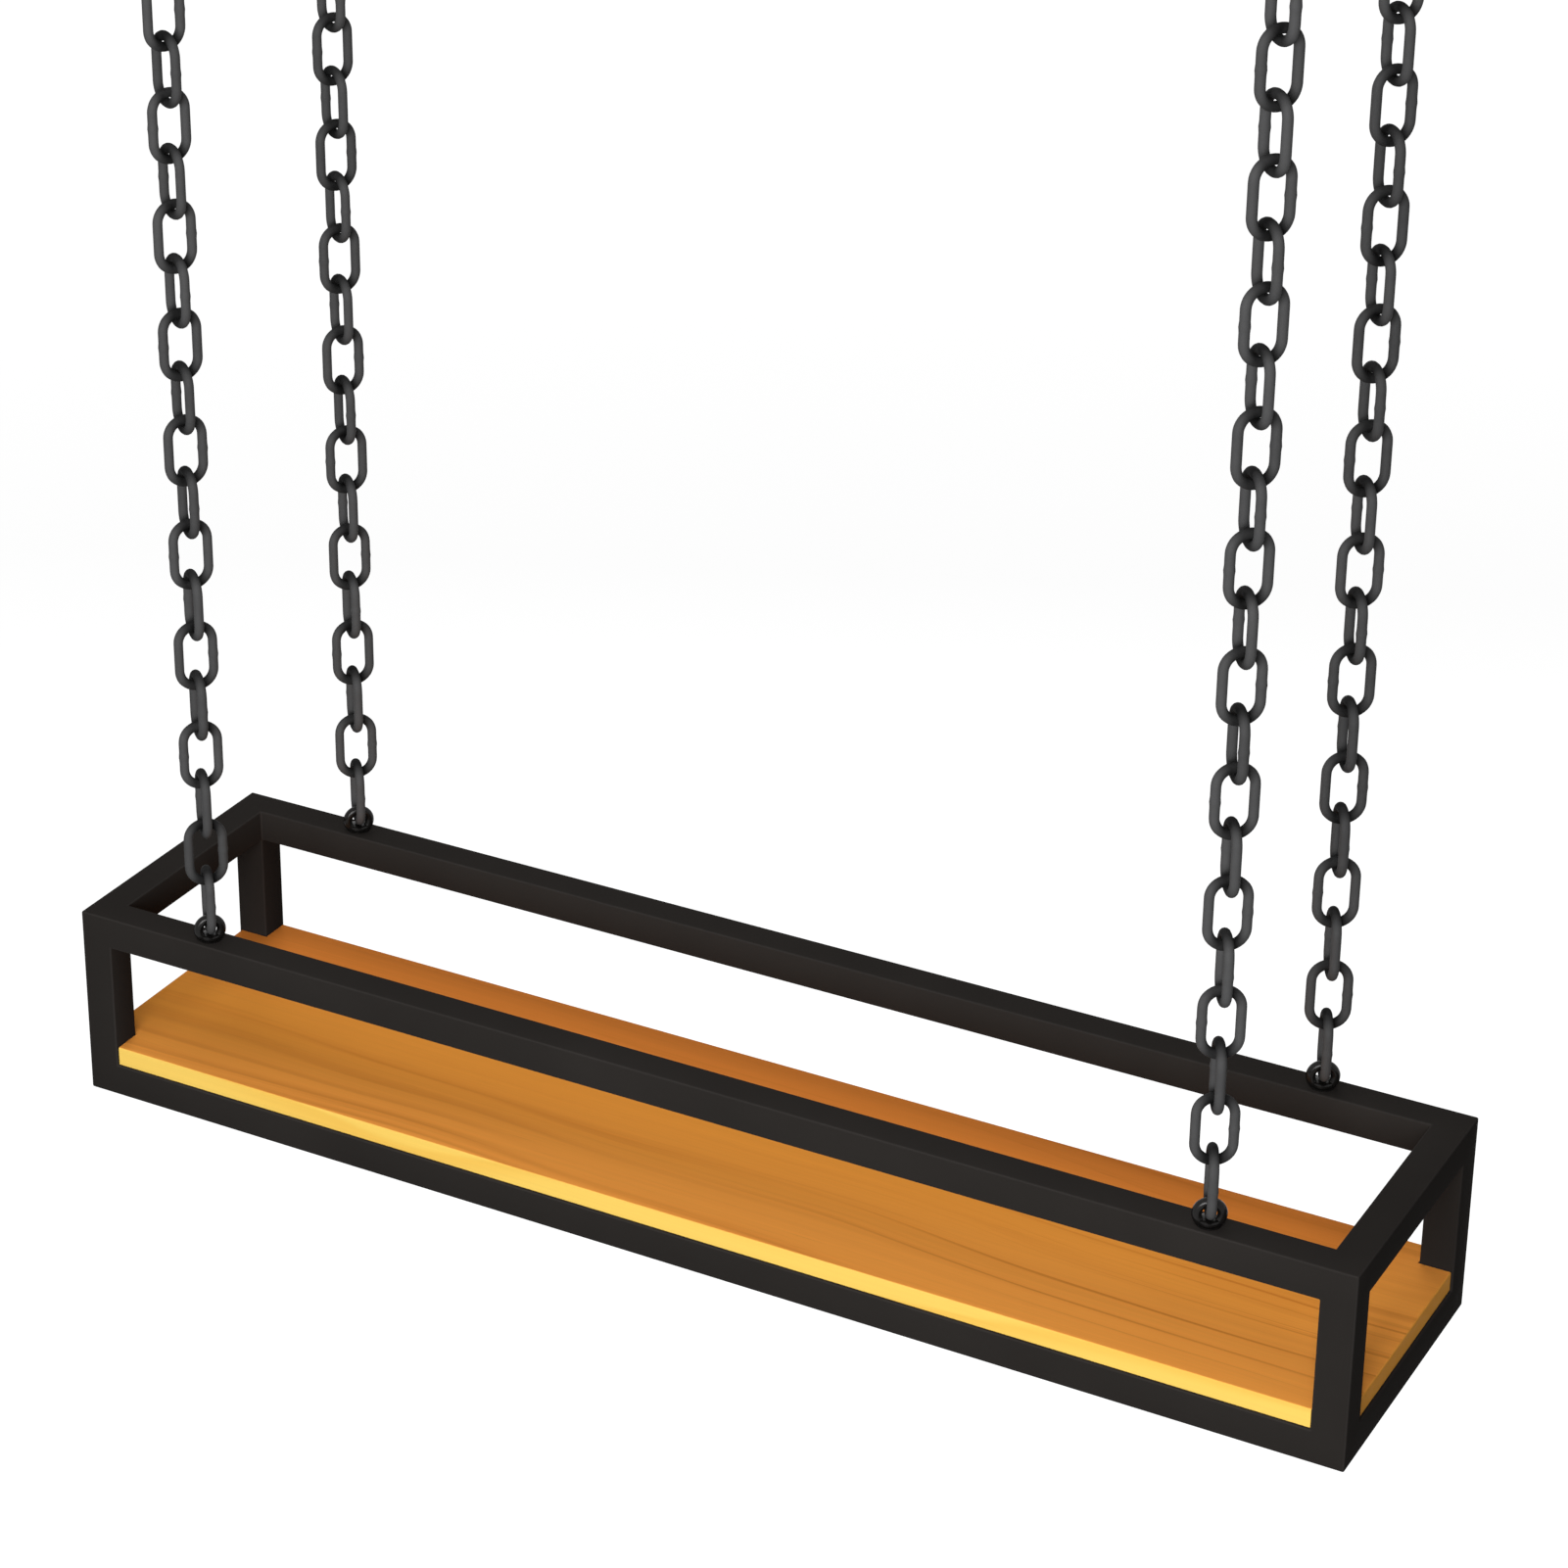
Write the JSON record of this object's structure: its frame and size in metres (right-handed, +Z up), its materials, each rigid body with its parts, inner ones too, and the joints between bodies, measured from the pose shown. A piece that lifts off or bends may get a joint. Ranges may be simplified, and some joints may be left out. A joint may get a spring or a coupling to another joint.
{
  "type": "hanging ceiling rack",
  "caption": "Long open tray of black square tube with a wooden shelf board, hung level from ceiling hooks on link chains, so that it swings front to back and side to side.",
  "frame": {"origin": "middle of the four ceiling hooks, on the surface of the ceiling", "axes": "+X along the rack to its right, +Y towards its back, +Z up into the ceiling"},
  "size_m": [0.8, 0.1846, 0.8976],
  "materials": {
    "powder_coat": "black matt powder coat on welded square tube",
    "board_wood": "warm orange-brown wood with fine straight grain, satin oil",
    "chain_steel": "dark grey satin steel wire",
    "eye_black": "glossy black plated steel",
    "hook_black": "black coated steel wire",
    "zinc_steel": "zinc plated steel"
  },
  "bodies": {
    "ceiling_hooks": {"ceiling_hook_front_left": "hook_black", "ceiling_hook_front_right": "hook_black", "ceiling_hook_back_left": "hook_black", "ceiling_hook_back_right": "hook_black", "hook_washers": "zinc_steel", "hook_nuts": "zinc_steel"},
    "rack": {"top_front_rail": "powder_coat", "top_back_rail": "powder_coat", "top_left_rail": "powder_coat", "top_right_rail": "powder_coat", "bottom_front_rail": "powder_coat", "bottom_back_rail": "powder_coat", "bottom_left_rail": "powder_coat", "bottom_right_rail": "powder_coat", "post_front_left": "powder_coat", "post_front_right": "powder_coat", "post_back_left": "powder_coat", "post_back_right": "powder_coat", "shelf_board": "board_wood", "board_screws": "zinc_steel", "eye_rivet_nuts": "eye_black", "eye_bolt_front_left": "eye_black", "eye_bolt_front_right": "eye_black", "eye_bolt_back_left": "eye_black", "eye_bolt_back_right": "eye_black"},
    "front_left_top_link": {"chain_front_left_top_link": "chain_steel"},
    "front_left_run": {"chain_front_left_run": "chain_steel"},
    "front_left_bottom_link": {"chain_front_left_bottom_link": "chain_steel"},
    "front_right_top_link": {"chain_front_right_top_link": "chain_steel"},
    "front_right_run": {"chain_front_right_run": "chain_steel"},
    "front_right_bottom_link": {"chain_front_right_bottom_link": "chain_steel"},
    "back_left_top_link": {"chain_back_left_top_link": "chain_steel"},
    "back_left_run": {"chain_back_left_run": "chain_steel"},
    "back_left_bottom_link": {"chain_back_left_bottom_link": "chain_steel"},
    "back_right_top_link": {"chain_back_right_top_link": "chain_steel"},
    "back_right_run": {"chain_back_right_run": "chain_steel"},
    "back_right_bottom_link": {"chain_back_right_bottom_link": "chain_steel"}
  },
  "joints": [
    {"name": "swing_front_back", "type": "hinge", "parent": "ceiling_hooks", "child": "front_left_top_link", "pos_m": [-0.314, -0.08, -0.03688], "axis": [1, 0, 0], "range_deg": [-20, 20]},
    {"name": "swing_side_to_side", "type": "hinge", "parent": "front_left_top_link", "child": "front_left_run", "pos_m": [-0.314, -0.08, -0.06815], "axis": [0, 1, 0], "range_deg": [-20, 20]},
    {"name": "front_left_chain_foot_side_to_side", "type": "hinge", "parent": "front_left_run", "child": "front_left_bottom_link", "pos_m": [-0.314, -0.08, -0.69615], "axis": [0, 1, 0], "range_deg": [-20, 20]},
    {"name": "rack_on_eye_front_back", "type": "hinge", "parent": "front_left_bottom_link", "child": "rack", "pos_m": [-0.314, -0.08, -0.72755], "axis": [1, 0, 0], "range_deg": [-20, 20]},
    {"name": "front_right_chain_front_back", "type": "hinge", "parent": "ceiling_hooks", "child": "front_right_top_link", "pos_m": [0.314, -0.08, -0.03688], "axis": [1, 0, 0], "range_deg": [-20, 20]},
    {"name": "front_right_chain_side_to_side", "type": "hinge", "parent": "front_right_top_link", "child": "front_right_run", "pos_m": [0.314, -0.08, -0.06815], "axis": [0, 1, 0], "range_deg": [-20, 20]},
    {"name": "front_right_chain_foot_side_to_side", "type": "hinge", "parent": "front_right_run", "child": "front_right_bottom_link", "pos_m": [0.314, -0.08, -0.69615], "axis": [0, 1, 0], "range_deg": [-20, 20]},
    {"name": "back_left_chain_front_back", "type": "hinge", "parent": "ceiling_hooks", "child": "back_left_top_link", "pos_m": [-0.314, 0.08, -0.03688], "axis": [1, 0, 0], "range_deg": [-20, 20]},
    {"name": "back_left_chain_side_to_side", "type": "hinge", "parent": "back_left_top_link", "child": "back_left_run", "pos_m": [-0.314, 0.08, -0.06815], "axis": [0, 1, 0], "range_deg": [-20, 20]},
    {"name": "back_left_chain_foot_side_to_side", "type": "hinge", "parent": "back_left_run", "child": "back_left_bottom_link", "pos_m": [-0.314, 0.08, -0.69615], "axis": [0, 1, 0], "range_deg": [-20, 20]},
    {"name": "back_right_chain_front_back", "type": "hinge", "parent": "ceiling_hooks", "child": "back_right_top_link", "pos_m": [0.314, 0.08, -0.03688], "axis": [1, 0, 0], "range_deg": [-20, 20]},
    {"name": "back_right_chain_side_to_side", "type": "hinge", "parent": "back_right_top_link", "child": "back_right_run", "pos_m": [0.314, 0.08, -0.06815], "axis": [0, 1, 0], "range_deg": [-20, 20]},
    {"name": "back_right_chain_foot_side_to_side", "type": "hinge", "parent": "back_right_run", "child": "back_right_bottom_link", "pos_m": [0.314, 0.08, -0.69615], "axis": [0, 1, 0], "range_deg": [-20, 20]}
  ],
  "couplings": [
    {"joint": "front_left_chain_foot_side_to_side", "follows": "swing_side_to_side", "ratio": -1},
    {"joint": "rack_on_eye_front_back", "follows": "swing_front_back", "ratio": -1},
    {"joint": "front_right_chain_foot_side_to_side", "follows": "swing_side_to_side", "ratio": -1},
    {"joint": "front_right_chain_front_back", "follows": "swing_front_back", "ratio": 1},
    {"joint": "front_right_chain_side_to_side", "follows": "swing_side_to_side", "ratio": 1},
    {"joint": "back_left_chain_foot_side_to_side", "follows": "swing_side_to_side", "ratio": -1},
    {"joint": "back_left_chain_front_back", "follows": "swing_front_back", "ratio": 1},
    {"joint": "back_left_chain_side_to_side", "follows": "swing_side_to_side", "ratio": 1},
    {"joint": "back_right_chain_foot_side_to_side", "follows": "swing_side_to_side", "ratio": -1},
    {"joint": "back_right_chain_front_back", "follows": "swing_front_back", "ratio": 1},
    {"joint": "back_right_chain_side_to_side", "follows": "swing_side_to_side", "ratio": 1}
  ]
}
